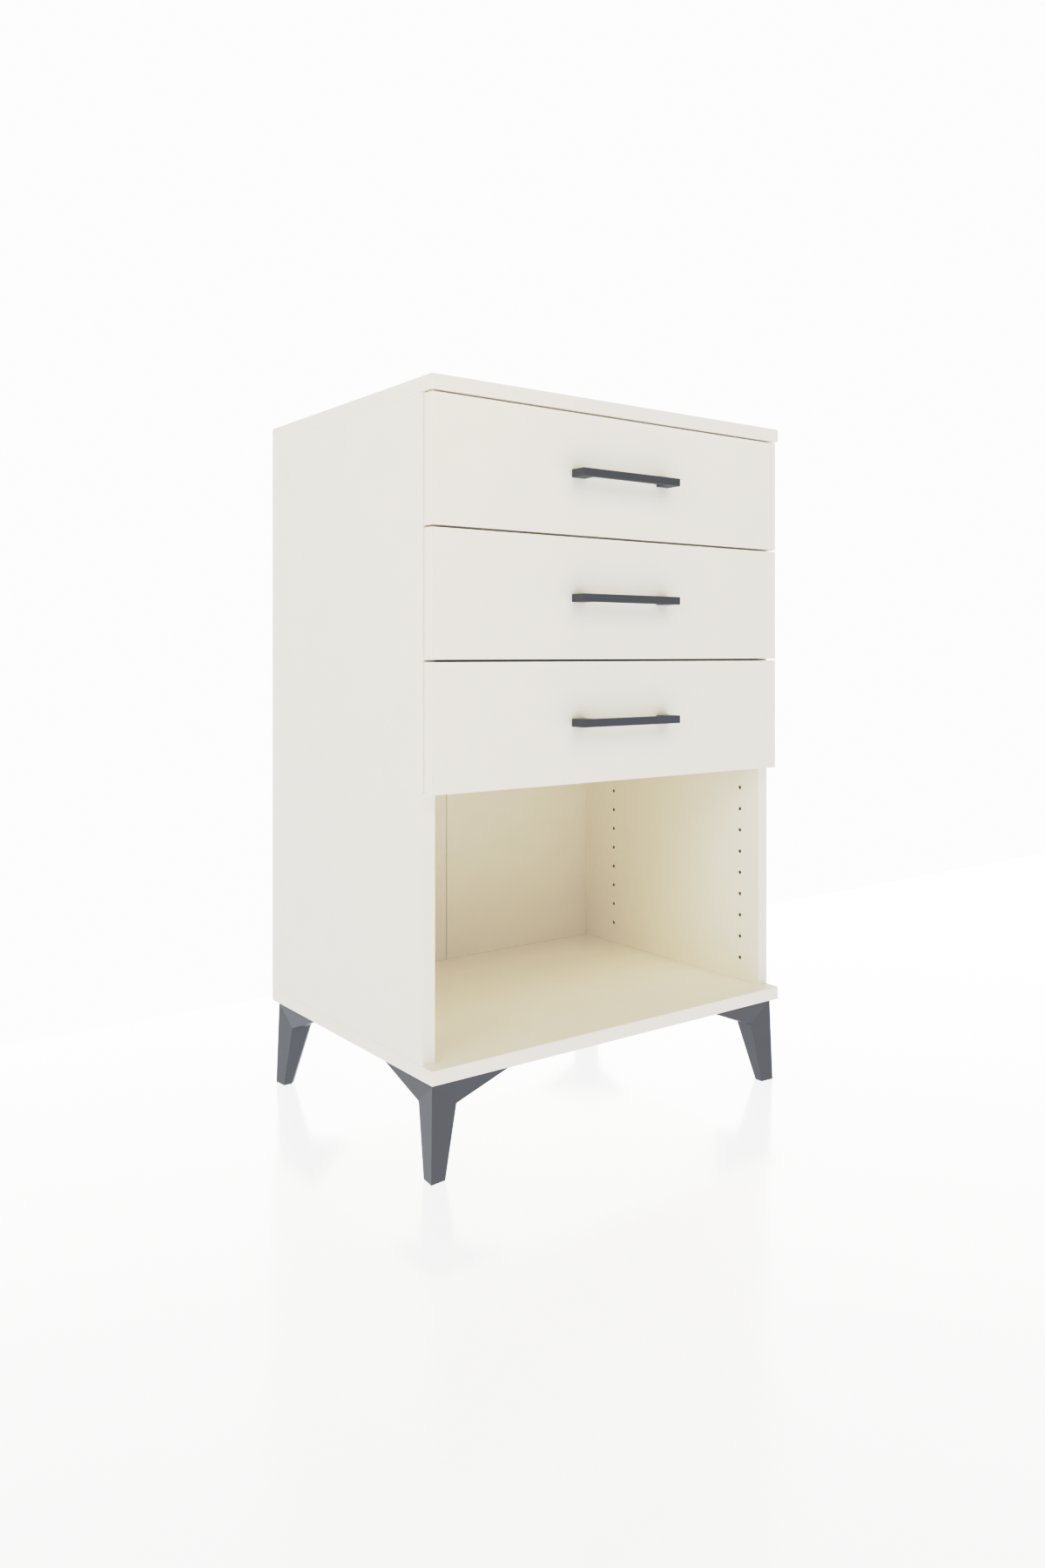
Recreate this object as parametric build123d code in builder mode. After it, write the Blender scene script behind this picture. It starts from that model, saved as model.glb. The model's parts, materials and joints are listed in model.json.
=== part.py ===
from build123d import *
import os

# A tall nightstand in laminated chipboard: three drawers over an open compartment, on four
# corner legs. X runs to the right, Y to the back and Z up. The origin is on the floor, in
# the middle of the width and of the overall depth, handles included. Sizes are millimetres.

# ---- Driving dimensions: carcass ----
width = 600                   # top and bottom panels, side to side
depth = 442                   # top and bottom panels, front to back
height = 954                  # floor to the upper face of the top panel
board = 18                    # carcass boards and drawer fronts
leg_height = 114
side_setback = 22             # side panels' front edges, behind the top panel's front edge
compartment_height = 324      # clear height of the open compartment
back_seam_x = -8              # joint between the two back boards
back_seam_gap = 1
edge_ease = 0.6               # rounding of the edge banding on visible boards

# ---- Driving dimensions: shelf pin holes of the open compartment ----
pin_hole_radius = 2.5
pin_hole_depth = 12
pin_rows = 9
pin_row_pitch = 32
pin_front_setback = 37        # front column, behind the side panel's front edge
pin_column_spacing = 291

# ---- Driving dimensions: drawers ----
drawer_count = 3
front_width = 596
front_setback = 3.5           # front faces, behind the top panel's front edge
front_gap = 2.5               # between drawer fronts
top_gap = 2                   # between the uppermost front and the top panel
box_board = 16                # drawer sides and back
box_height = 120
box_length = 350
box_lift = 28                 # box's lower edge, above the front's lower edge
base_thickness = 3
base_lift = 10                # base groove, above the box's lower edge
groove_depth = 8
groove_play = 0.4

# ---- Driving dimensions: handles ----
handle_length = 168
handle_height = 10
handle_reach = 24.5           # front face to the bar's outer face
bar_thickness = 6
handle_foot = 21
handle_middle_x = -2.5        # the handles sit a little left of the fronts' middle
handle_screw_spacing = 160
handle_round = 1

# ---- Driving dimensions: ball-bearing runners ----
runner_length = 350
runner_width = 13             # side panel to drawer side
runner_lift = 45              # runner's centre line, above the box's lower edge
runner_setback = 3            # outer member, behind the side panel's front edge
inner_setback = 2.5           # inner member, behind the drawer front's rear face
sheet = 1.2                   # rolled steel
outer_section = (0, 9.5, 45)       # web, far ends of the flanges, height over the flanges
middle_section = (4, 10.8, 38)
inner_section = (runner_width, 6, 31)
rail_round = 0.9
runner_screw_steps = (35, 163, 315)   # screw places along a member, from its front end

# ---- Driving dimensions: legs, from the leg's top corner, arms running inwards ----
arm_reach = 110
arm_root = 38                 # arm's width where it passes through the shaft
arm_slope = 0.127             # inward lean of the arms' outer faces, per unit of fall
knee = Vector(37.5, 3.5, -27.5)        # lower end of the arm at the shaft, outer side
back_knee = Vector(37.5, 25, -30)      # the same, inner side
shaft_top = [(0, 0), (41.8, 4.8), (41.8, 38), (38, 41.8), (4.8, 41.8)]
shaft_foot = [(-3, -3), (17.9, -0.6), (17.9, 11), (11, 17.9), (-0.6, 17.9)]
flange_thickness = 4
leg_screw_places = [(66, 28), (28, 66), (48, 48)]
right_leg_inset = 18          # right-hand legs, in from the bottom panel's side edge
rear_leg_inset = 23           # rear legs, in from the bottom panel's rear edge

# ---- Driving dimensions: fasteners ----
screw_play = 0.2              # between a fastener and the wall of its hole
countersink = 90              # degrees, between opposite sides of the cone
hole_play = 0.5               # left free at the bottom of a blind hole
dowel_radius = 4
dowel_length = 30
dowel_chamfer = 0.8
dowel_in_face = 12            # depth of a dowel's hole in the board that it meets face on
cam_radius = 7.5
cam_depth = 12.5
cam_recess = 2
cam_distance = 24             # cam's centre, from the board's end
cam_bolt_thread = (3, 11)          # radius, length
cam_bolt_shank_radius = 2.5
cam_bolt_head = (3.5, 3)
cam_bore_radius = 4
joint_setback = 60            # cams and joint screws, from the side panel's edges
dowel_offset = 32             # dowels, further in than the cams
confirmat = (5, 1.5, 3.5, 50)      # head radius, head height, shank radius, length
leg_screw = (4, 2, 2, 16)
runner_screw = (3.4, 1.8, 2, 13)
handle_screw = (4, 2.6, 2, 32)
back_screw_margin = 60             # end screws of a back board, from its ends
back_screw_xs = (-200, -60, 60, 200)   # screws from the back boards into the divider

# ---- Derived places ----
top_front_y = (handle_reach - front_setback - depth) / 2
rear_y = top_front_y + depth
half_width = width / 2
inner_half = half_width - board
side_middle = half_width - board / 2
side_front_y = top_front_y + side_setback
side_rear_y = rear_y - board
floor_top = leg_height + board
divider_bottom = floor_top + compartment_height
divider_top = divider_bottom + board
divider_middle = divider_bottom + board / 2
top_underside = height - board
face_y = top_front_y + front_setback
front_rear_y = face_y + board
fronts_and_gaps = top_underside - divider_bottom - top_gap
front_height = (fronts_and_gaps - (drawer_count - 1) * front_gap) / drawer_count
box_half = inner_half - runner_width
box_inner_half = box_half - box_board
box_rear_y = front_rear_y + box_length
joint_ys = [side_front_y + joint_setback, side_rear_y - joint_setback]
dowel_ys = [joint_ys[0] + dowel_offset, joint_ys[1] - dowel_offset]
left, right = -1, 1
sides = {"left": left, "right": right}
LEFT, RIGHT, FRONT, UP, DOWN = (-1, 0, 0), (1, 0, 0), (0, -1, 0), (0, 0, 1), (0, 0, -1)

os.makedirs("parts", exist_ok=True)


def save(piece, name):
    """Label a finished piece and write it under its own name."""
    piece.part.label = name
    export_step(piece.part, f"parts/{name}.step")


def block(x_range, y_range, z_range, mode=Mode.ADD):
    """A straight block between two places along each axis."""
    with BuildSketch(Plane.XY.offset(z_range[0])) as plan:
        with Locations((sum(x_range) / 2, sum(y_range) / 2)):
            Rectangle(x_range[1] - x_range[0], y_range[1] - y_range[0])
    extrude(plan.sketch, amount=z_range[1] - z_range[0], mode=mode)


def entries(points, inward, towards=None):
    """Places on a surface whose own -Z runs into the material, and +X towards a neighbour."""
    return Locations(*[Plane(origin=point, x_dir=towards, z_dir=-Vector(*inward))
                       for point in points])


def inner_wall(side):
    """Direction from the cabinet's middle into a side panel."""
    return RIGHT if side == right else LEFT


# ---- Fastener shapes, each with the surface that it enters at its own Z = 0 ----
def screw_shape(size, countersunk):
    """A cross-headed screw: a countersunk head lies below the surface, a flat one on it."""
    head_radius, head_height, shank_radius, length = size
    if countersunk:
        head = [(0, 0), (head_radius, 0), (shank_radius, -head_height)]
    else:
        head = [(0, head_height), (head_radius, head_height), (head_radius, 0), (shank_radius, 0)]
    head_top = head[0][1]
    with BuildPart() as screw:
        with BuildSketch(Plane.XZ):
            with BuildLine():
                Polyline(*head, (shank_radius, shank_radius - length), (0, -length), close=True)
            make_face()
        revolve(axis=Axis.Z)
        with BuildSketch(Plane.XY.offset(head_top)):
            Rectangle(head_radius, head_radius / 4)
            Rectangle(head_radius / 4, head_radius)
        extrude(amount=-head_height / 2, mode=Mode.SUBTRACT)
    return screw.part


def dowel_shape():
    """A beech dowel through a joint, with chamfered ends."""
    with BuildPart() as dowel:
        with BuildSketch(Plane.XY.offset(hole_play - dowel_in_face)):
            Circle(dowel_radius)
        extrude(amount=dowel_length)
        chamfer(dowel.edges().filter_by(GeomType.CIRCLE), dowel_chamfer)
    return dowel.part


def cam_shape():
    """A cam lock: a drum, open at one side for the head of its bolt, with a cross recess."""
    with BuildPart() as cam:
        with BuildSketch():
            Circle(cam_radius)
        extrude(amount=-cam_depth)
        bolt_stop = (-cam_bolt_head[1] / 2 - hole_play, 0, -board / 2)
        with BuildSketch(Plane(origin=bolt_stop, z_dir=RIGHT)):
            Circle(cam_bore_radius)
        extrude(amount=2 * cam_radius, mode=Mode.SUBTRACT)
        with BuildSketch():
            Rectangle(cam_radius, cam_radius / 5)
            Rectangle(cam_radius / 5, cam_radius)
        extrude(amount=-cam_recess, mode=Mode.SUBTRACT)
    return cam.part


def cam_bolt_shape():
    """The bolt of a cam lock: threaded into one board, its head inside the cam of the next."""
    thread_radius, thread_length = cam_bolt_thread
    head_radius, head_length = cam_bolt_head
    head_end = cam_distance + head_length / 2
    with BuildPart() as bolt:
        with BuildSketch(Plane.XZ):
            with BuildLine():
                Polyline(
                    (0, -thread_length),
                    (thread_radius, -thread_length),
                    (thread_radius, 0),
                    (cam_bolt_shank_radius, 0),
                    (cam_bolt_shank_radius, head_end - head_length),
                    (head_radius, head_end - head_length),
                    (head_radius, head_end),
                    (0, head_end),
                    close=True,
                )
            make_face()
        revolve(axis=Axis.Z)
    return bolt.part


def save_group(shape, places, name):
    """Identical fasteners at several places, as one group of separate solids."""
    with BuildPart() as group:
        for points, inward, towards in places:
            with entries(points, inward, towards):
                add(shape)
    save(group, name)


def shank_hole(size, deep):
    """A hole for a screw's shank."""
    Hole(size[2] + screw_play, deep)


# ---- Joint places, on the surface where two boards meet ----
pin_front_y = side_front_y + pin_front_setback
pin_ys = [pin_front_y, pin_front_y + pin_column_spacing]
lowest_pin_z = floor_top + (compartment_height - (pin_rows - 1) * pin_row_pitch) / 2
pin_zs = [lowest_pin_z + row * pin_row_pitch for row in range(pin_rows)]
back_screw_zs = [floor_top + back_screw_margin, (floor_top + top_underside) / 2,
                 top_underside - back_screw_margin]
screw_in_board = confirmat[3] - board + hole_play
dowel_in_end = dowel_length - dowel_in_face + 2 * hole_play
front_bottoms = [divider_bottom + (drawer_count - n) * (front_height + front_gap)
                 for n in range(1, drawer_count + 1)]
runner_zs = [z + box_lift + runner_lift for z in front_bottoms]
outer_front_y = side_front_y + runner_setback
inner_front_y = front_rear_y + inner_setback


def side_points(side, ys, z):
    """Points above or below the middle of a side panel's thickness."""
    return [(side * side_middle, y, z) for y in ys]


def both_sides(ys, z):
    return side_points(left, ys, z) + side_points(right, ys, z)


def wall_points(side, ys, zs):
    """Points on a side panel's inner face."""
    return [(side * inner_half, y, z) for z in zs for y in ys]


# ---- Carcass boards ----
def side_panel(side):
    """A side board, drilled for shelf pins, runners, cams, dowels and joint screws."""
    wall = inner_wall(side)
    across = sorted((side * inner_half, side * half_width))
    rail_ys = [outer_front_y + step for step in runner_screw_steps]
    rear_points = [(side * side_middle, side_rear_y, z) for z in back_screw_zs]
    with BuildPart() as panel:
        block(across, (side_front_y, side_rear_y), (floor_top, top_underside))
        fillet(panel.edges().filter_by(Axis.Z).group_by(Axis.Y)[0], edge_ease)
        with entries(wall_points(side, pin_ys, pin_zs), wall):
            Hole(pin_hole_radius, pin_hole_depth)
        with entries(wall_points(side, rail_ys, runner_zs), wall):
            shank_hole(runner_screw, runner_screw[3] - sheet + hole_play)
        with entries(wall_points(side, joint_ys, [top_underside - cam_distance]), wall):
            Hole(cam_radius + screw_play, cam_depth + screw_play)
        with entries(side_points(side, joint_ys, top_underside), DOWN):
            Hole(cam_bore_radius, cam_distance)
        with entries(side_points(side, dowel_ys, top_underside), DOWN):
            Hole(dowel_radius + screw_play, dowel_in_end)
        with entries(side_points(side, dowel_ys, floor_top), UP):
            Hole(dowel_radius + screw_play, dowel_in_end)
        with entries(side_points(side, joint_ys, floor_top), UP):
            shank_hole(confirmat, screw_in_board)
        with entries(wall_points(side, joint_ys, [divider_middle]), wall):
            Hole(cam_bolt_thread[0] + screw_play, cam_bolt_thread[1] + hole_play)
        with entries(wall_points(side, dowel_ys, [divider_middle]), wall):
            Hole(dowel_radius + screw_play, dowel_in_face)
        with entries(rear_points, FRONT):
            shank_hole(confirmat, screw_in_board)
    return panel


for side_name, side in sides.items():
    save(side_panel(side), f"{side_name}_side_panel")

with BuildPart() as top_panel:
    block((-half_width, half_width), (top_front_y, rear_y), (top_underside, height))
    fillet(top_panel.edges(), edge_ease)
    with entries(both_sides(joint_ys, top_underside), UP):
        Hole(cam_bolt_thread[0] + screw_play, cam_bolt_thread[1] + hole_play)
    with entries(both_sides(dowel_ys, top_underside), UP):
        Hole(dowel_radius + screw_play, dowel_in_face)
save(top_panel, "top_panel")

leg_corners = {
    "front_left": (-half_width, top_front_y, 1, 1),
    "front_right": (half_width - right_leg_inset, top_front_y, -1, 1),
    "back_left": (-half_width, rear_y - rear_leg_inset, 1, -1),
    "back_right": (half_width - right_leg_inset, rear_y - rear_leg_inset, -1, -1),
}


def leg_screw_points(z):
    return [(x + turn_x * reach_x, y + turn_y * reach_y, z)
            for x, y, turn_x, turn_y in leg_corners.values()
            for reach_x, reach_y in leg_screw_places]


with BuildPart() as bottom_panel:
    block((-half_width, half_width), (top_front_y, rear_y), (leg_height, floor_top))
    fillet(bottom_panel.edges(), edge_ease)
    with entries(both_sides(joint_ys, leg_height), UP):
        CounterSinkHole(confirmat[2] + screw_play, confirmat[0] + screw_play, board, countersink)
    with entries(both_sides(dowel_ys, floor_top), DOWN):
        Hole(dowel_radius + screw_play, dowel_in_face)
    with entries(leg_screw_points(leg_height), UP):
        shank_hole(leg_screw, leg_screw[3] - flange_thickness + hole_play)
save(bottom_panel, "bottom_panel")

divider_cams = [(side * (inner_half - cam_distance), y, divider_bottom)
                for side in (left, right) for y in joint_ys]
divider_rear_points = [(x, side_rear_y, divider_middle) for x in back_screw_xs]

with BuildPart() as divider_shelf:
    block((-inner_half, inner_half), (side_front_y, side_rear_y), (divider_bottom, divider_top))
    with entries(divider_cams, UP):
        Hole(cam_radius + screw_play, cam_depth + screw_play)
    for side in (left, right):
        with entries(wall_points(side, joint_ys, [divider_middle]), inner_wall(-side)):
            Hole(cam_bore_radius, cam_distance)
        with entries(wall_points(side, dowel_ys, [divider_middle]), inner_wall(-side)):
            Hole(dowel_radius + screw_play, dowel_in_end)
    with entries(divider_rear_points, FRONT):
        shank_hole(confirmat, screw_in_board)
save(divider_shelf, "divider_shelf")

back_edge_points = [(side * side_middle, rear_y, z) for side in (left, right) for z in back_screw_zs]
back_middle_points = [(x, rear_y, divider_middle) for x in back_screw_xs]
back_spans = {
    "left": (-half_width, back_seam_x - back_seam_gap / 2),
    "right": (back_seam_x + back_seam_gap / 2, half_width),
}

for side_name, span in back_spans.items():
    own_points = [point for point in back_edge_points + back_middle_points
                  if span[0] < point[0] < span[1]]
    with BuildPart() as back_panel:
        block(span, (side_rear_y, rear_y), (floor_top, top_underside))
        with entries(own_points, FRONT):
            CounterSinkHole(confirmat[2] + screw_play, confirmat[0] + screw_play, board, countersink)
    save(back_panel, f"back_panel_{side_name}")

# ---- Carcass fasteners ----
save_group(screw_shape(confirmat, True), [
    (both_sides(joint_ys, leg_height), UP, None),
    (back_edge_points + back_middle_points, FRONT, None),
], "joint_screws")

save_group(dowel_shape(), [
    (both_sides(dowel_ys, top_underside), UP, None),
    (both_sides(dowel_ys, floor_top), DOWN, None),
    (wall_points(left, dowel_ys, [divider_middle]), LEFT, None),
    (wall_points(right, dowel_ys, [divider_middle]), RIGHT, None),
], "dowels")

save_group(cam_bolt_shape(), [
    (both_sides(joint_ys, top_underside), UP, None),
    (wall_points(left, joint_ys, [divider_middle]), LEFT, None),
    (wall_points(right, joint_ys, [divider_middle]), RIGHT, None),
], "cam_bolts")

save_group(cam_shape(), [
    (wall_points(left, joint_ys, [top_underside - cam_distance]), LEFT, UP),
    (wall_points(right, joint_ys, [top_underside - cam_distance]), RIGHT, UP),
    (divider_cams[:2], UP, LEFT),
    (divider_cams[2:], UP, RIGHT),
], "cam_locks")

# ---- Legs ----
tip = Vector(arm_reach, 0, 0)
lower_face = Plane(origin=tip, z_dir=(back_knee - tip).cross(knee - tip))
outer_face = Plane(origin=(0, 0, 0), z_dir=(0, 1, arm_slope))


def across_the_corner(plane):
    """The same plane on the leg's other arm: X and Y change places."""
    swap = Vector(plane.origin.Y, plane.origin.X, plane.origin.Z)
    return Plane(origin=swap, z_dir=(plane.z_dir.Y, plane.z_dir.X, plane.z_dir.Z))


with BuildPart() as leg:
    with BuildSketch():
        Polygon((0, 0), (arm_reach, 0), (0, arm_root), align=None)
        Polygon((0, 0), (arm_root, 0), (0, arm_reach), align=None)
    extrude(amount=-arm_root)
    with BuildSketch():
        Polygon((0, 0), (arm_reach, 0), (0, arm_reach), align=None)
    extrude(amount=-flange_thickness)
    for face in (lower_face, outer_face):
        split(bisect_by=face, keep=Keep.TOP)
        split(bisect_by=across_the_corner(face), keep=Keep.TOP)
    with BuildSketch():
        Polygon(*shaft_top, align=None)
    with BuildSketch(Plane.XY.offset(-leg_height)):
        Polygon(*shaft_foot, align=None)
    loft(ruled=True)
    with entries([(x, y, -flange_thickness) for x, y in leg_screw_places], UP):
        CounterSinkHole(leg_screw[2] + screw_play, leg_screw[0] + screw_play,
                        flange_thickness, countersink)

for corner_name, (x, y, turn_x, turn_y) in leg_corners.items():
    with BuildPart() as turned_leg:
        add(leg.part)
        if turn_x < 0:
            mirror(about=Plane.YZ, mode=Mode.REPLACE)
        if turn_y < 0:
            mirror(about=Plane.XZ, mode=Mode.REPLACE)
    with BuildPart() as placed_leg:
        with Locations((x, y, leg_height)):
            add(turned_leg.part)
    save(placed_leg, f"leg_{corner_name}")

save_group(screw_shape(leg_screw, True),
           [(leg_screw_points(leg_height - flange_thickness), UP, None)], "leg_screws")


# ---- Runners ----
def rail(side, section, front_y, z):
    """A rolled channel: its web stands up, and its two flanges reach over to the next member."""
    web, reach, tall = section
    web_far = web + sheet if reach > web else web - sheet
    low, high = z - tall / 2, z + tall / 2
    walls = [((web, web_far), (low, high)), ((web, reach), (low, low + sheet)),
             ((web, reach), (high - sheet, high))]
    web_x = side * (inner_half - web)
    with BuildPart() as member:
        with BuildSketch(Plane.XZ.offset(-(front_y + runner_length))) as profile:
            for across, upright in walls:
                xs = [side * (inner_half - place) for place in across]
                with Locations((sum(xs) / 2, sum(upright) / 2)):
                    Rectangle(abs(xs[1] - xs[0]), upright[1] - upright[0])
            fillet(profile.vertices().filter_by_position(Axis.X, web_x, web_x), rail_round)
        extrude(amount=runner_length)
    return member


def drill_rail(member, side, web, front_y, z, inward):
    """Cut the screw holes of a rail that is fixed to a board, and give the screws' places."""
    points = [(side * (inner_half - web), front_y + step, z) for step in runner_screw_steps]
    with BuildPart() as drilled:
        add(member.part)
        with entries(points, inward):
            shank_hole(runner_screw, sheet)
    return drilled, points


carcass_rail_screws = []
outer_web_face = outer_section[0] + sheet
inner_web_face = inner_section[0] - sheet

for number, z in enumerate(runner_zs, start=1):
    drawer_rail_screws = []
    for side_name, side in sides.items():
        wall = inner_wall(side)
        into_drawer = inner_wall(-side)
        outer = rail(side, outer_section, outer_front_y, z)
        outer, points = drill_rail(outer, side, outer_web_face, outer_front_y, z, wall)
        carcass_rail_screws.append((points, wall, None))
        save(outer, f"runner_{number}_{side_name}_outer")
        save(rail(side, middle_section, outer_front_y, z), f"runner_{number}_{side_name}_middle")
        inner = rail(side, inner_section, inner_front_y, z)
        inner, points = drill_rail(inner, side, inner_web_face, inner_front_y, z, into_drawer)
        drawer_rail_screws.append((points, into_drawer, None))
        save(inner, f"runner_{number}_{side_name}_inner")
    save_group(screw_shape(runner_screw, False), drawer_rail_screws, f"drawer_{number}_runner_screws")

save_group(screw_shape(runner_screw, False), carcass_rail_screws, "carcass_runner_screws")


# ---- Drawers ----
def drawer_side(side, z, groove):
    """A side board of a drawer box, grooved for the base and drilled for its runner."""
    across = sorted((side * box_inner_half, side * box_half))
    groove_across = sorted((side * box_inner_half, side * (box_inner_half + groove_depth)))
    rail_points = [(side * box_half, inner_front_y + step, z + runner_lift)
                   for step in runner_screw_steps]
    with BuildPart() as board_piece:
        block(across, (front_rear_y, box_rear_y), (z, z + box_height))
        fillet(board_piece.edges().filter_by(Axis.Y).group_by(Axis.Z)[-1], edge_ease)
        block(groove_across, (front_rear_y, box_rear_y), groove, Mode.SUBTRACT)
        with entries(rail_points, inner_wall(-side)):
            shank_hole(runner_screw, runner_screw[3] - sheet + hole_play)
    return board_piece


for number, front_bottom in enumerate(front_bottoms, start=1):
    box_bottom = front_bottom + box_lift
    base_bottom = box_bottom + base_lift
    groove = (base_bottom, base_bottom + base_thickness + groove_play)
    groove_half = box_inner_half + groove_depth
    box_back_face_y = box_rear_y - box_board
    handle_z = front_bottom + front_height / 2
    handle_screw_xs = [handle_middle_x + turn * handle_screw_spacing / 2 for turn in (left, right)]

    with BuildPart() as front:
        block((-front_width / 2, front_width / 2), (face_y, front_rear_y),
              (front_bottom, front_bottom + front_height))
        fillet(front.edges(), edge_ease)
        block((-groove_half, groove_half), (front_rear_y - groove_depth, front_rear_y),
              groove, Mode.SUBTRACT)
        with entries([(x, front_rear_y, handle_z) for x in handle_screw_xs], FRONT):
            shank_hole(handle_screw, board)
    save(front, f"drawer_{number}_front")

    for side_name, side in sides.items():
        save(drawer_side(side, box_bottom, groove), f"drawer_{number}_{side_name}_side")

    with BuildPart() as box_back:
        block((-box_inner_half, box_inner_half), (box_back_face_y, box_rear_y),
              (box_bottom, box_bottom + box_height))
        fillet(box_back.edges().filter_by(Axis.X).group_by(Axis.Z)[-1], edge_ease)
        block((-box_inner_half, box_inner_half), (box_back_face_y, box_back_face_y + groove_depth),
              groove, Mode.SUBTRACT)
    save(box_back, f"drawer_{number}_back")

    base_half = groove_half - hole_play
    with BuildPart() as base:
        block((-base_half, base_half),
              (front_rear_y - groove_depth + hole_play, box_back_face_y + groove_depth - hole_play),
              (base_bottom, base_bottom + base_thickness))
    save(base, f"drawer_{number}_base")

    bar_outer_y = face_y - handle_reach
    handle_zs = (handle_z - handle_height / 2, handle_z + handle_height / 2)
    handle_xs = [handle_middle_x + turn * handle_length / 2 for turn in (left, right)]
    finger_xs = (handle_xs[0] + handle_foot, handle_xs[1] - handle_foot)
    with BuildPart() as handle:
        block(handle_xs, (bar_outer_y, face_y), handle_zs)
        fillet(handle.edges().group_by(Axis.Y)[0], handle_round)
        block(finger_xs, (bar_outer_y + bar_thickness, face_y), handle_zs, Mode.SUBTRACT)
        with entries([(x, face_y, handle_z) for x in handle_screw_xs], FRONT):
            shank_hole(handle_screw, handle_screw[3] - board + hole_play)
    save(handle, f"drawer_{number}_handle")

    save_group(screw_shape(handle_screw, False),
               [([(x, front_rear_y, handle_z) for x in handle_screw_xs], FRONT, None)],
               f"drawer_{number}_handle_screws")
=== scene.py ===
import json
import math

import bmesh
import bpy
from mathutils import Matrix, Vector


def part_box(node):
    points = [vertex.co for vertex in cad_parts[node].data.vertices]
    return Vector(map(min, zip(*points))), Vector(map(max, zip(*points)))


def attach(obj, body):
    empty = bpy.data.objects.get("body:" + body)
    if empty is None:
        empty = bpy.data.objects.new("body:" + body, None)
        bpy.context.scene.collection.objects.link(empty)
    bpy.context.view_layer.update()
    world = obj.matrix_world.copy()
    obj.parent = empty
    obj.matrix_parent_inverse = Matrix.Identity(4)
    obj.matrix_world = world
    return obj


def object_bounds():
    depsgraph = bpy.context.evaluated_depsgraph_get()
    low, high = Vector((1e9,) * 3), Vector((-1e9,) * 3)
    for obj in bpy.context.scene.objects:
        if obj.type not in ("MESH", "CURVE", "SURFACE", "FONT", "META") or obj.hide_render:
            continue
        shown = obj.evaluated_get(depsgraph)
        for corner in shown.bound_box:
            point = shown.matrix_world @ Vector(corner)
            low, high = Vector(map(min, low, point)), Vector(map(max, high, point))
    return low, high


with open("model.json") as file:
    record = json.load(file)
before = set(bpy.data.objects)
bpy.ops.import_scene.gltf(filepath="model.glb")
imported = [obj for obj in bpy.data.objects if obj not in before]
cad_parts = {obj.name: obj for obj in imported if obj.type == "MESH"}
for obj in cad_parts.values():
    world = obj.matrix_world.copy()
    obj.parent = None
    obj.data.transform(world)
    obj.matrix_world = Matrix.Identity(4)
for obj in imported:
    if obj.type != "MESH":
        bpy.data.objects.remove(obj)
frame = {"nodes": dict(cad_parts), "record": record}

# A tall chipboard nightstand: cream boards, anthracite handles and legs, zinc-plated runners.
# Lengths are metres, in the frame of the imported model.

cad_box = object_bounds()
MM = 0.001
CAD_NODES = frame["nodes"]
DRAWERS = (1, 2, 3)
SIDES = ("left", "right")
CORNERS = ("front_left", "front_right", "back_left", "back_right")


def linear(red, green, blue):
    """A screen colour, 0 to 255, as the linear colour that shaders take."""
    channels = []
    for value in (red, green, blue):
        share = value / 255
        channels.append(share / 12.92 if share <= 0.04045 else ((share + 0.055) / 1.055) ** 2.4)
    return (*channels, 1.0)


# ---- Shader trees ----
class ShaderTree:
    """A tree of shader nodes, with short calls for the nodes that it is made of."""

    def __init__(self, tree):
        self.tree = tree

    def add(self, kind, **inputs):
        """A node of a kind, with its named inputs set or linked."""
        node = self.tree.nodes.new(kind)
        for key, value in inputs.items():
            self.feed(node.inputs[key.replace("_", " ")], value)
        return node

    def feed(self, socket, value):
        """Link an output to a socket, or set the socket to a plain value."""
        if isinstance(value, bpy.types.NodeSocket):
            self.tree.links.new(value, socket)
        else:
            socket.default_value = value

    def math(self, operation, *values):
        """The result of one operation on numbers or outputs."""
        node = self.tree.nodes.new("ShaderNodeMath")
        node.operation = operation
        for socket, value in zip(node.inputs, values):
            self.feed(socket, value)
        return node.outputs[0]

    def ramp(self, value, start, end, low=0.0, high=1.0):
        """low up to start, high from end on, and an even slope between."""
        return self.add("ShaderNodeMapRange", Value=value, From_Min=start, From_Max=end,
                        To_Min=low, To_Max=high).outputs[0]

    def mix(self, factor, first, second):
        """The first colour where factor is 0, and the second where it is 1."""
        node = self.tree.nodes.new("ShaderNodeMix")
        node.data_type = "RGBA"
        self.feed(node.inputs[0], factor)
        self.feed(node.inputs[6], first)
        self.feed(node.inputs[7], second)
        return node.outputs[2]


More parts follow.
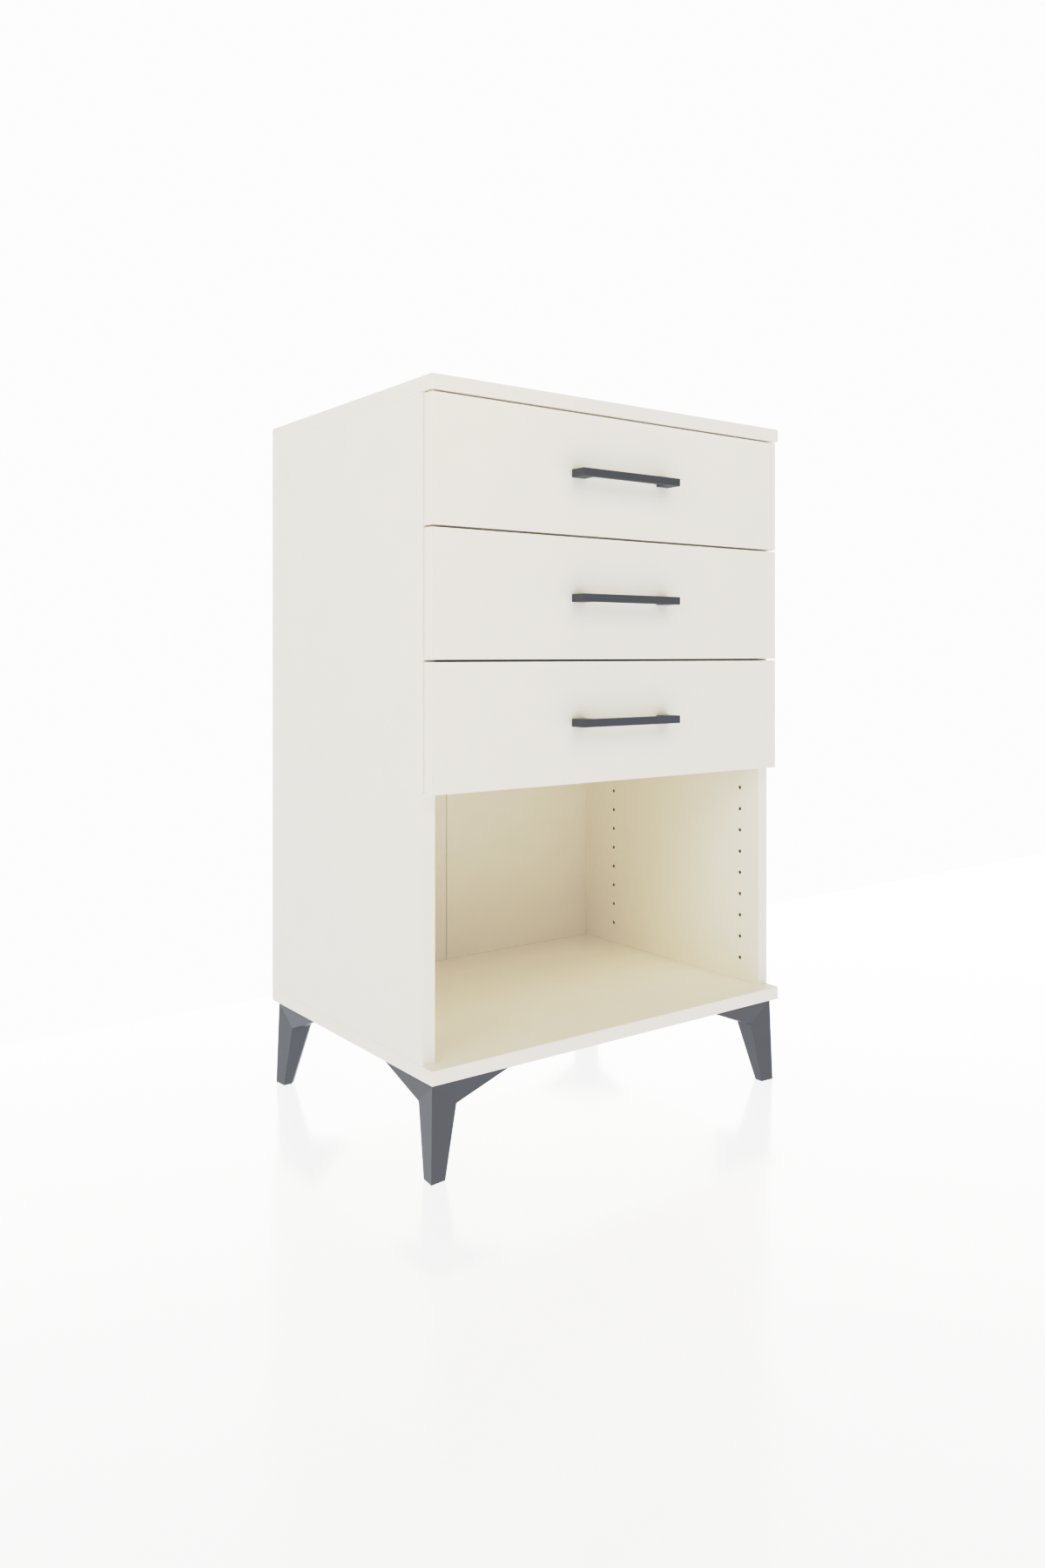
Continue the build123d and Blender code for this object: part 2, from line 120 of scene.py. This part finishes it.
class Recipe(ShaderTree):
    """One procedural material."""

    def __init__(self, name, roughness, metallic=0.0, specular=0.5):
        self.material = bpy.data.materials.new(name)
        self.material.use_nodes = True
        super().__init__(self.material.node_tree)
        self.shader = self.tree.nodes["Principled BSDF"]
        self.shader.inputs["Roughness"].default_value = roughness
        self.shader.inputs["Metallic"].default_value = metallic
        self.shader.inputs["Specular IOR Level"].default_value = specular
        self.place = self.add("ShaderNodeTexCoord").outputs["Object"]

    def stretched(self, stretch):
        """Places squeezed along each axis, so that a texture comes out longer there."""
        return self.add("ShaderNodeMapping", Vector=self.place,
                        Scale=[1 / axis for axis in stretch]).outputs[0]

    def noise(self, size, detail=2.0, stretch=(1, 1, 1), roughness=0.5):
        """Noise whose features are about size metres across, longer along a stretched axis."""
        return self.add("ShaderNodeTexNoise", Vector=self.stretched(stretch), Scale=1 / size,
                        Detail=detail, Roughness=roughness).outputs["Fac"]

    def cells(self, size, stretch=(1, 1, 1)):
        """Random colour per cell, with cells about size metres across."""
        return self.add("ShaderNodeTexVoronoi", Vector=self.stretched(stretch),
                        Scale=1 / size).outputs["Color"]

    def spread(self, noise, low=0.0, high=1.0):
        """low to high over the middle range, which noise seldom leaves."""
        return self.ramp(noise, 0.3, 0.7, low, high)

    def bump(self, height, depth, strength=1.0):
        """Relief whose full height is depth metres."""
        node = self.add("ShaderNodeBump", Height=height, Distance=depth, Strength=strength)
        self.feed(self.shader.inputs["Normal"], node.outputs[0])

    def color(self, value):
        """The surface's colour, plain or from an output."""
        self.feed(self.shader.inputs["Base Color"], value)

    def roughness(self, value):
        """The surface's roughness, plain or from an output."""
        self.feed(self.shader.inputs["Roughness"], value)

    def glow(self, strength):
        """White light of its own."""
        self.feed(self.shader.inputs["Emission Color"], (1.0, 1.0, 1.0, 1.0))
        self.feed(self.shader.inputs["Emission Strength"], strength)


def depths_below_faces(recipe, low, high):
    """How far a point lies inside each pair of a board's outer faces: X, Y and Z."""
    xyz = recipe.add("ShaderNodeSeparateXYZ", Vector=recipe.place).outputs
    return [recipe.math("MINIMUM", recipe.math("SUBTRACT", xyz[axis], low[axis]),
                        recipe.math("SUBTRACT", high[axis], xyz[axis])) for axis in range(3)]


def paint(node, recipe):
    """Give a CAD node its one finished material."""
    slots = CAD_NODES[node].data.materials
    slots.clear()
    slots.append(recipe.material)


# ---- Materials of the boards ----
# A fade is a pair of depths below a board's outer faces: it starts at one and is over at the other.
CREAM = (0.898, 0.868, 0.802, 1.0)
CREAM_LIGHT = (0.910, 0.880, 0.816, 1.0)
CHIP_TAN = linear(170, 147, 116)
CHIP_BROWN = linear(106, 87, 66)
BAND = 0.8 * MM              # thickness of the edge banding
GLUE = linear(176, 160, 132)
GLUE_SHOWS = 0.35            # how much of the glue's colour its thin line takes
GLUE_LINE = 0.12 * MM        # width of the line, which runs where the banding meets a face
GLUE_FADE = (0.2 * MM, 0.3 * MM)      # the line is on a face, and not inside the edge
SKIN_FADE = (0.45 * MM, 0.585 * MM)   # below the melamine film the chipboard shows
PAINT_FADE = (0.15 * MM, 0.25 * MM)   # below a thin base's paint the fibreboard shows


def chipboard(recipe):
    """Pressed wood chips, as bared by a drill or a groove."""
    chips = recipe.cells(1.6 * MM, stretch=(1.0, 1.7, 1.0))
    grey = recipe.add("ShaderNodeSeparateColor", Color=chips).outputs[0]
    return recipe.mix(grey, CHIP_BROWN, CHIP_TAN)


def melamine_board(node):
    """Cream melamine on both faces, matching banding on the edges, raw chipboard in every cut."""
    low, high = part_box(node)
    thickness_axis = min(range(3), key=lambda axis: high[axis] - low[axis])
    recipe = Recipe(f"melamine_{node}", roughness=0.42, specular=0.35)
    depths = depths_below_faces(recipe, low, high)
    depth = recipe.math("MINIMUM", recipe.math("MINIMUM", depths[0], depths[1]), depths[2])
    cut = recipe.ramp(depth, *SKIN_FADE)
    edge = recipe.math("MINIMUM", *(depths[axis] for axis in range(3) if axis != thickness_axis))
    on_face = recipe.ramp(depths[thickness_axis], *GLUE_FADE, 1.0, 0.0)
    from_line = recipe.math("ABSOLUTE", recipe.math("SUBTRACT", edge, BAND))
    near_line = recipe.ramp(from_line, GLUE_LINE / 2, GLUE_LINE, 1.0, 0.0)
    line = recipe.math("MULTIPLY", near_line, on_face)

    clouds = recipe.noise(60 * MM, detail=3.0)
    grain = recipe.noise(0.7 * MM)
    face = recipe.mix(recipe.spread(clouds), CREAM, CREAM_LIGHT)
    face = recipe.mix(recipe.math("MULTIPLY", line, GLUE_SHOWS), face, GLUE)
    recipe.color(recipe.mix(cut, face, chipboard(recipe)))
    rougher_cut = recipe.math("MULTIPLY", cut, 0.4)
    recipe.roughness(recipe.math("ADD", recipe.spread(grain, 0.38, 0.46), rougher_cut))
    recipe.bump(grain, 0.02 * MM, strength=0.5)
    paint(node, recipe)


def drawer_base(node):
    """Thin fibreboard, painted white on its faces, with a brown fibrous edge."""
    recipe = Recipe(f"fibreboard_{node}", roughness=0.5)
    depth = depths_below_faces(recipe, *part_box(node))[2]
    fibres = recipe.noise(1.5 * MM, detail=6.0, stretch=(4, 1, 1))
    painted = recipe.mix(recipe.ramp(fibres, 0.35, 0.65), linear(232, 226, 213),
                         linear(238, 233, 222))
    raw = recipe.mix(fibres, linear(112, 78, 48), linear(150, 110, 72))
    recipe.color(recipe.mix(recipe.ramp(depth, *PAINT_FADE), painted, raw))
    recipe.roughness(recipe.spread(fibres, 0.42, 0.58))
    recipe.bump(fibres, 0.03 * MM, strength=0.4)
    paint(node, recipe)


# ---- Materials of the other pieces ----
def leg_plastic():
    """Moulded anthracite plastic with a fine spark-eroded grain and a satin sheen."""
    recipe = Recipe("leg_plastic", roughness=0.34, specular=0.6)
    grain = recipe.noise(0.35 * MM, detail=3.0, roughness=0.6)
    flow = recipe.noise(45 * MM)
    body = recipe.mix(recipe.spread(flow), linear(55, 61, 75), linear(60, 66, 80))
    recipe.color(recipe.mix(recipe.ramp(grain, 0.55, 0.75), body, linear(76, 81, 92)))
    recipe.roughness(recipe.spread(grain, 0.30, 0.40))
    recipe.bump(grain, 0.03 * MM, strength=0.5)
    return recipe


def handle_paint():
    """Anthracite powder coat: fine orange peel over a die-cast bar."""
    recipe = Recipe("handle_powder_coat", roughness=0.45, specular=0.4)
    peel = recipe.noise(0.9 * MM)
    speckle = recipe.noise(0.15 * MM, detail=1.0)
    body = recipe.mix(recipe.ramp(peel, 0.35, 0.65), linear(50, 57, 68), linear(57, 64, 75))
    recipe.color(recipe.mix(recipe.ramp(speckle, 0.66, 0.74), body, linear(92, 98, 108)))
    recipe.roughness(recipe.spread(peel, 0.40, 0.52))
    recipe.bump(peel, 0.06 * MM, strength=0.6)
    return recipe


def runner_steel():
    """Rolled steel strip, zinc plated: long faint rolling lines and a soft spangle."""
    recipe = Recipe("runner_steel", roughness=0.3, metallic=1.0)
    lines = recipe.noise(0.5 * MM, detail=3.0, stretch=(1, 120, 1))
    spangle = recipe.noise(9 * MM, detail=1.0)
    tone = recipe.mix(recipe.spread(lines), linear(176, 179, 182), linear(206, 208, 209))
    dulling = recipe.ramp(spangle, 0.45, 0.65, 0.0, 0.35)
    recipe.color(recipe.mix(dulling, tone, linear(168, 172, 178)))
    recipe.roughness(recipe.spread(lines, 0.24, 0.38))
    recipe.bump(lines, 0.01 * MM, strength=0.5)
    return recipe


def screw_zinc():
    """Bright zinc plating on turned screws, with faint turning marks."""
    recipe = Recipe("screw_zinc", roughness=0.28, metallic=1.0)
    marks = recipe.noise(0.25 * MM)
    stain = recipe.ramp(recipe.noise(2.5 * MM), 0.35, 0.65)
    recipe.color(recipe.mix(stain, linear(196, 198, 203), linear(214, 212, 205)))
    recipe.roughness(recipe.spread(marks, 0.22, 0.40))
    recipe.bump(marks, 0.01 * MM, strength=0.4)
    return recipe


def cam_zinc():
    """Die-cast zinc alloy, dull grey and slightly grainy."""
    recipe = Recipe("cam_zinc", roughness=0.5, metallic=1.0)
    cast = recipe.noise(0.4 * MM, detail=4.0, roughness=0.7)
    recipe.color(recipe.mix(recipe.spread(cast), linear(140, 142, 145), linear(178, 179, 180)))
    recipe.roughness(recipe.spread(cast, 0.42, 0.62))
    recipe.bump(cast, 0.05 * MM, strength=0.6)
    return recipe


def beech():
    """Turned beech: pale pinkish wood with short darker flecks along the grain."""
    recipe = Recipe("beech", roughness=0.6)
    grain = recipe.noise(0.8 * MM, detail=4.0, stretch=(1, 1, 9))
    flecks = recipe.noise(0.5 * MM, detail=1.0, stretch=(1, 1, 5))
    wood = recipe.mix(recipe.spread(grain), linear(196, 154, 110), linear(220, 184, 142))
    recipe.color(recipe.mix(recipe.ramp(flecks, 0.62, 0.72, 0.0, 0.6), wood, linear(142, 98, 62)))
    recipe.bump(grain, 0.05 * MM, strength=0.6)
    return recipe


def polished_steel():
    """Hardened balls, mirror bright under a film of grease."""
    recipe = Recipe("ball_steel", roughness=0.12, metallic=1.0)
    grease = recipe.noise(3 * MM)
    recipe.color(recipe.mix(recipe.ramp(grease, 0.4, 0.6), linear(205, 207, 210),
                            linear(190, 188, 178)))
    recipe.roughness(recipe.ramp(grease, 0.4, 0.65, 0.08, 0.25))
    return recipe


def black_plastic():
    """Moulded black nylon with a fine grain."""
    recipe = Recipe("black_nylon", roughness=0.45)
    grain = recipe.noise(0.3 * MM)
    recipe.color(recipe.mix(recipe.ramp(grain, 0.4, 0.7), linear(34, 34, 36),
                            linear(48, 48, 50)))
    recipe.roughness(recipe.spread(grain, 0.40, 0.52))
    recipe.bump(grain, 0.02 * MM, strength=0.5)
    return recipe


SLOT_RECIPES = {
    "leg_plastic": leg_plastic(),
    "handle_metal": handle_paint(),
    "runner_steel": runner_steel(),
    "screw_steel": screw_zinc(),
    "cam_zinc": cam_zinc(),
    "beech": beech(),
}

for subpart in frame["record"]["subparts"]:
    node, slot = subpart["node"], subpart["material_slot"]
    if slot == "cream_board":
        melamine_board(node)
    elif slot == "hardboard":
        drawer_base(node)
    else:
        paint(node, SLOT_RECIPES[slot])


# ---- Softened edges on moulded and coated pieces ----
LEG_ROUNDING = 0.5 * MM
HANDLE_ROUNDING = 0.7 * MM
WELD_REACH = 0.01 * MM       # corners nearer than this are one corner
SHARP_ANGLE = math.radians(12)   # an edge that turns by more than this is rounded


def soften(node, width):
    """Weld the node's faces together and round its sharp edges a little."""
    weld = CAD_NODES[node].modifiers.new("weld", "WELD")
    weld.merge_threshold = WELD_REACH
    rounding = CAD_NODES[node].modifiers.new("rounding", "BEVEL")
    rounding.width = width
    rounding.segments = 2
    rounding.limit_method = "ANGLE"
    rounding.angle_limit = SHARP_ANGLE


for corner in CORNERS:
    soften(f"leg_{corner}", LEG_ROUNDING)
for number in DRAWERS:
    soften(f"drawer_{number}_handle", HANDLE_ROUNDING)


# ---- Inside the runners: ball cages, balls and release levers ----
RAIL_SHEET = 1.2 * MM        # rolled steel of the rails
CAGE_SHEET = 0.4 * MM
CAGE_REACHES = {             # from the side panel to a cage's web, ball centres and folded tips
    "outer": (3.5 * MM, 7.0 * MM, 9.0 * MM),
    "inner": (5.6 * MM, 8.6 * MM, 10.3 * MM),
}
CAGE_END_GAP = 2 * MM        # between a cage and each end of its half of the runner
BALLS_IN_ROW = 9
BALL_PLAY = 0.05 * MM        # between a ball and each rail
WINDOW_PLAY = 0.2 * MM       # between a ball and the edge of its window
LEVER_LENGTH = 58 * MM
LEVER_THICKNESS = 2.4 * MM
LEVER_ARCH = 3.5 * MM
LEVER_PIVOT_HALF = 3.4 * MM  # half the lever's height at its pivot end
LEVER_NARROWING = 1.3 * MM   # how much less that is at its finger end
LEVER_REACH = 9.0 * MM       # from the side panel to the middle of the lever
LEVER_SETBACK = 98 * MM      # from the front end of the inner member to the lever


def add_piece(name, mesh, recipe, body):
    """A new piece that moves with a body and carries one material of its own."""
    piece = bpy.data.objects.new(name, mesh)
    mesh.materials.append(recipe.material)
    bpy.context.scene.collection.objects.link(piece)
    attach(piece, body)
    return piece


def race(inner_member, outer_member):
    """Height of the ball rows above the runner's centre line, and the balls' radius."""
    low = (inner_member[1][2] - inner_member[0][2]) / 2
    high = (outer_member[1][2] - outer_member[0][2]) / 2 - RAIL_SHEET
    return (low + high) / 2, (high - low) / 2 - BALL_PLAY


def ball_ys(span):
    """Places of the balls along a cage."""
    pitch = (span[1] - span[0]) / BALLS_IN_ROW
    return [span[0] + (index + 0.5) * pitch for index in range(BALLS_IN_ROW)]


def cage_mesh(name, web_x, ball_x, tip_x, centre_z, row_height, window, span):
    """A thin bent strip with a window round each ball and slots along its web."""
    turn = math.copysign(1, tip_x - web_x)
    slot_half = row_height / 2
    upper_half = [(tip_x, row_height), (ball_x + turn * window, row_height),
                  (ball_x - turn * window, row_height), (web_x, row_height), (web_x, slot_half)]
    outline = upper_half + [(x, -z) for x, z in reversed(upper_half)]
    ball_cells, web_cell = (1, 7), 4      # stretches of the outline, counted along it
    steps = [span[0]]
    for y in ball_ys(span):
        steps += [y - window, y + window]
    steps.append(span[1])
    points = [(x, y, centre_z + z) for y in steps for x, z in outline]
    faces = []
    for row in range(len(steps) - 1):
        at_ball = row % 2 == 1
        between_balls = row % 2 == 0 and 0 < row < len(steps) - 2
        for cell in range(len(outline) - 1):
            if at_ball and cell in ball_cells or between_balls and cell == web_cell:
                continue
            first = row * len(outline) + cell
            faces.append((first, first + 1, first + 1 + len(outline), first + len(outline)))
    mesh = bpy.data.meshes.new(name)
    mesh.from_pydata(points, [], faces)
    return mesh


def balls_mesh(name, ball_x, centre_z, row_height, radius, span):
    """Both rows of balls of one cage."""
    balls = bmesh.new()
    for y in ball_ys(span):
        for z in (centre_z - row_height, centre_z + row_height):
            bmesh.ops.create_uvsphere(balls, u_segments=14, v_segments=8, radius=radius,
                                      matrix=Matrix.Translation((ball_x, y, z)))
    for face in balls.faces:
        face.smooth = True
    mesh = bpy.data.meshes.new(name)
    balls.to_mesh(mesh)
    balls.free()
    return mesh


def lever_mesh(name, x, pivot_y, centre_z):
    """A gently arched lever that narrows from its pivot, in front, to its finger end."""
    steps = 14
    points, faces = [], []
    for step in range(steps + 1):
        share = step / steps
        arch = LEVER_ARCH * math.sin(math.pi * share)
        half_height = LEVER_PIVOT_HALF - LEVER_NARROWING * math.sin(math.pi * share / 2)
        y = pivot_y + share * LEVER_LENGTH
        points += [(x, y, centre_z + arch - half_height), (x, y, centre_z + arch + half_height)]
    for step in range(steps):
        faces.append((2 * step, 2 * step + 1, 2 * step + 3, 2 * step + 2))
    mesh = bpy.data.meshes.new(name)
    mesh.from_pydata(points, [], faces)
    return mesh


def thicken(piece, thickness):
    """Give a sheet its thickness, half to each side."""
    solid = piece.modifiers.new("thickness", "SOLIDIFY")
    solid.thickness = thickness
    solid.offset = 0.0


def fill_runner(number, side):
    """The ball cages and balls of one runner, which ride on its middle member, and its lever."""
    stem, middles = f"runner_{number}_{side}", f"runner_{number}_middles"
    outer, middle_member, inner = (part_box(f"{stem}_{part}")
                                   for part in ("outer", "middle", "inner"))
    wall_x, inward = (outer[0][0], 1) if side == "left" else (outer[1][0], -1)
    centre_z = (outer[0][2] + outer[1][2]) / 2
    front_y, rear_y = middle_member[0][1], middle_member[1][1]
    half_y = (front_y + rear_y) / 2
    cages = {                # the members that each cage runs between, and its half of the runner
        "outer": (race(middle_member, outer), (half_y, rear_y)),
        "inner": (race(inner, middle_member), (front_y, half_y)),
    }
    for kind, ((row_height, radius), (start, end)) in cages.items():
        web_x, ball_x, tip_x = (wall_x + inward * reach for reach in CAGE_REACHES[kind])
        span = (start + CAGE_END_GAP, end - CAGE_END_GAP)
        name = f"{stem}_{kind}_cage"
        strip = cage_mesh(name, web_x, ball_x, tip_x, centre_z, row_height, radius + WINDOW_PLAY,
                          span)
        thicken(add_piece(name, strip, SLOT_RECIPES["runner_steel"], middles),
                CAGE_SHEET)
        name = f"{stem}_{kind}_balls"
        add_piece(name, balls_mesh(name, ball_x, centre_z, row_height, radius, span),
                  BALL_RECIPE, middles)
    name = f"{stem}_release_lever"
    blade = lever_mesh(name, wall_x + inward * LEVER_REACH, inner[0][1] + LEVER_SETBACK, centre_z)
    thicken(add_piece(name, blade, LEVER_RECIPE, f"drawer_{number}"),
            LEVER_THICKNESS)


BALL_RECIPE = polished_steel()
LEVER_RECIPE = black_plastic()

for number in DRAWERS:
    for side in SIDES:
        fill_runner(number, side)


# ---- Floor, light and camera ----
GROUND_REACH = 30.0          # how far the ground goes to the front, the back and each side
WALL_LINE_Y = 0.618          # where the pale floor turns into the paler background
FLOOR_LIGHT = 1.27
BACKDROP_LIGHT = 1.60
ROOM_LIGHT = 0.40
WARM_WHITE = (1.0, 0.955, 0.855)
WALL_TURN = 0.4              # how far back a reflected ray must point to see all of the wall

SOFTBOXES = {                # place, width and height, watts
    "front_softbox": ((-0.2, -2.2, 2.6), (2.4, 1.6), 27.5),
    "left_softbox": ((-2.6, -1.2, 1.2), (1.4, 1.2), 19.0),
    "top_softbox": ((0.4, 0.3, 3.4), (2.0, 2.0), 16.0),
}

SENSOR_WIDTH = 36.0          # the sensor and the lens are in millimetres
LENS = 27.346
LENS_SHIFT = (-0.0061, -0.0830)
CAMERA_PLACE = (-1.0440, -1.4019, 0.6233)
CAMERA_TURN = math.radians(-36.782)   # about the upright, from looking straight back

BOUNCES = 16
DIFFUSE_BOUNCES = 12         # the open compartment is lit mostly by bounced light
BRIGHTEST = 2.0              # scene light that shows as full white
LIFTED_BLACK = 0.045         # what no light at all shows as
SHOULDER = ((0.12, 0.128), (0.35, 0.335), (0.70, 0.665),    # scene light and what it shows as
            (1.00, 0.78), (1.30, 0.89), (1.60, 0.98))


def ground(name, near_y, far_y, recipe):
    """A wide strip of ground from one depth to another, at the height of the floor."""
    mesh = bpy.data.meshes.new(name)
    mesh.from_pydata([(-GROUND_REACH, near_y, 0), (GROUND_REACH, near_y, 0),
                      (GROUND_REACH, far_y, 0), (-GROUND_REACH, far_y, 0)], [], [(0, 1, 2, 3)])
    strip = bpy.data.objects.new(name, mesh)
    mesh.materials.append(recipe.material)
    bpy.context.scene.collection.objects.link(strip)


def make_floor():
    """A pale polished floor in front, and beyond it ground that is as pale as the backdrop."""
    polished = Recipe("floor_polished", roughness=0.14)
    haze = polished.noise(0.7, detail=1.0)
    polished.color(polished.mix(haze, (0.06, 0.06, 0.06, 1.0), (0.07, 0.07, 0.068, 1.0)))
    polished.glow(FLOOR_LIGHT)
    ground("floor", -GROUND_REACH, WALL_LINE_Y, polished)
    pale = Recipe("ground_pale", roughness=1.0, specular=0.0)
    pale.color((0.0, 0.0, 0.0, 1.0))
    pale.glow(BACKDROP_LIGHT)
    ground("ground_beyond", WALL_LINE_Y, GROUND_REACH, pale)


def make_world():
    """Studio surroundings: a dim warm room in front, a white wall behind, a white backdrop."""
    world = bpy.data.worlds.new("studio")
    world.use_nodes = True
    studio = ShaderTree(world.node_tree)
    rays = studio.add("ShaderNodeLightPath").outputs
    room = [ROOM_LIGHT * channel for channel in WARM_WHITE] + [1.0]
    backdrop = [BACKDROP_LIGHT] * 3 + [1.0]
    towards = studio.add("ShaderNodeTexCoord").outputs["Generated"]
    back_share = studio.add("ShaderNodeSeparateXYZ", Vector=towards).outputs[1]
    mirrored = studio.mix(studio.ramp(back_share, 0.0, WALL_TURN), room, backdrop)
    light = studio.mix(rays["Is Glossy Ray"], room, mirrored)
    light = studio.mix(rays["Is Camera Ray"], light, backdrop)
    studio.feed(studio.tree.nodes["Background"].inputs["Color"], light)
    bpy.context.scene.world = world


def softbox(name, place, target, size, power):
    """A large rectangular lamp that faces a target point."""
    data = bpy.data.lights.new(name, "AREA")
    data.shape = "RECTANGLE"
    data.size, data.size_y = size
    data.energy = power
    data.color = WARM_WHITE
    lamp = bpy.data.objects.new(name, data)
    lamp.location = place
    lamp.rotation_euler = (Vector(target) - Vector(place)).to_track_quat("-Z", "Y").to_euler()
    lamp.visible_camera = False
    bpy.context.scene.collection.objects.link(lamp)


def make_camera():
    """A level camera a little above half the cabinet's height, off its left front corner."""
    data = bpy.data.cameras.new("camera")
    data.sensor_width = SENSOR_WIDTH
    data.lens = LENS
    data.shift_x, data.shift_y = LENS_SHIFT
    camera = bpy.data.objects.new("camera", data)
    camera.location = CAMERA_PLACE
    camera.rotation_euler = (math.radians(90), 0.0, CAMERA_TURN)
    bpy.context.scene.collection.objects.link(camera)
    bpy.context.scene.camera = camera


def soften_highlights(view):
    """The response of a bright product picture: even up to the mid tones, then a long shoulder."""
    view.view_transform = "Standard"
    view.look = "None"
    view.use_curve_mapping = True
    response = view.curve_mapping
    response.white_level = (BRIGHTEST, BRIGHTEST, BRIGHTEST)
    curve = response.curves[3]
    for light, shown in SHOULDER:
        curve.points.new(light / BRIGHTEST, shown)
    curve.points[0].location = (0.0, LIFTED_BLACK)
    curve.points[-1].location = (1.0, 1.0)
    response.update()


make_floor()
make_world()
middle = (Vector(cad_box[0]) + Vector(cad_box[1])) / 2
for name, (place, size, power) in SOFTBOXES.items():
    softbox(name, place, middle, size, power)
make_camera()

scene = bpy.context.scene
scene.cycles.max_bounces = BOUNCES
scene.cycles.diffuse_bounces = DIFFUSE_BOUNCES
soften_highlights(scene.view_settings)
